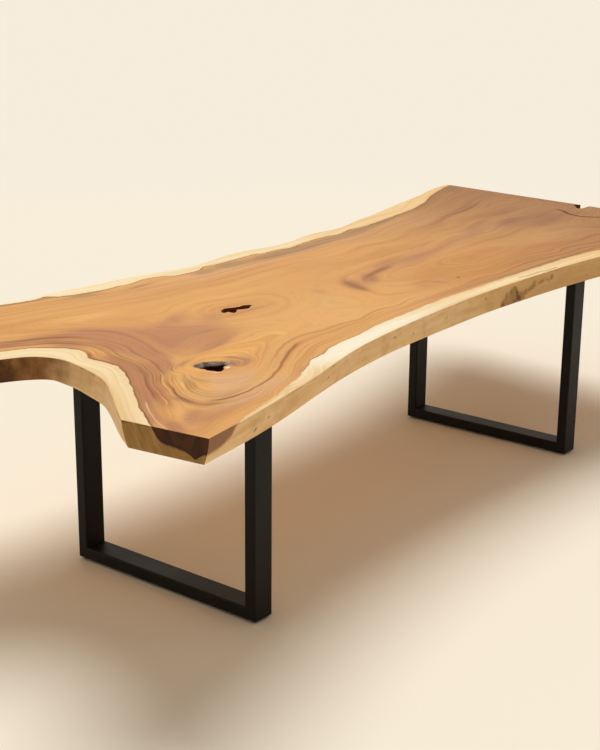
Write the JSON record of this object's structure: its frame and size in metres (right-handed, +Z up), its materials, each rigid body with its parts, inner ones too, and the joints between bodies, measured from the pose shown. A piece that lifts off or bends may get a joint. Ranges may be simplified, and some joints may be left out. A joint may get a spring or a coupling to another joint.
{
  "type": "live edge dining table",
  "caption": "Long dining table: a thick natural-edged wood slab with a forked end, on two welded steel tube leg frames with levelling feet.",
  "frame": {"origin": "on the floor, under the middle of the table's outline as seen from above", "axes": "+X along the table from its forked end to its plain end, +Y across it from its front long edge to its back one, +Z up"},
  "size_m": [3.8674, 1.6851, 0.778],
  "materials": {
    "slab_wood": "satin oil-lacquered hardwood, honey heartwood with cream sapwood at the natural edges",
    "powder_coated_steel": "fine satin black powder coat",
    "zinc_plated_steel": "bright zinc plate",
    "nylon_pad": "moulded black nylon"
  },
  "bodies": {
    "table": {"live_edge_slab": "slab_wood", "left_leg_front_upright": "powder_coated_steel", "left_leg_back_upright": "powder_coated_steel", "left_leg_floor_rail": "powder_coated_steel", "left_leg_mounting_plate": "powder_coated_steel", "left_leg_weld_beads": "powder_coated_steel", "left_leg_rivet_nuts": "zinc_plated_steel", "left_leg_bolts": "zinc_plated_steel", "left_leg_washers": "zinc_plated_steel", "left_slab_inserts": "zinc_plated_steel", "right_leg_front_upright": "powder_coated_steel", "right_leg_back_upright": "powder_coated_steel", "right_leg_floor_rail": "powder_coated_steel", "right_leg_mounting_plate": "powder_coated_steel", "right_leg_weld_beads": "powder_coated_steel", "right_leg_rivet_nuts": "zinc_plated_steel", "right_leg_bolts": "zinc_plated_steel", "right_leg_washers": "zinc_plated_steel", "right_slab_inserts": "zinc_plated_steel"},
    "left_front_foot": {"left_front_foot_pad": "nylon_pad", "left_front_foot_stud": "zinc_plated_steel"},
    "left_back_foot": {"left_back_foot_pad": "nylon_pad", "left_back_foot_stud": "zinc_plated_steel"},
    "right_front_foot": {"right_front_foot_pad": "nylon_pad", "right_front_foot_stud": "zinc_plated_steel"},
    "right_back_foot": {"right_back_foot_pad": "nylon_pad", "right_back_foot_stud": "zinc_plated_steel"}
  },
  "joints": [
    {"name": "left_front_foot_level", "type": "slide", "parent": "table", "child": "left_front_foot", "axis": [0, 0, -1], "range_m": [0, 0.012]},
    {"name": "left_back_foot_level", "type": "slide", "parent": "table", "child": "left_back_foot", "axis": [0, 0, -1], "range_m": [0, 0.012]},
    {"name": "right_front_foot_level", "type": "slide", "parent": "table", "child": "right_front_foot", "axis": [0, 0, -1], "range_m": [0, 0.012]},
    {"name": "right_back_foot_level", "type": "slide", "parent": "table", "child": "right_back_foot", "axis": [0, 0, -1], "range_m": [0, 0.012]}
  ]
}
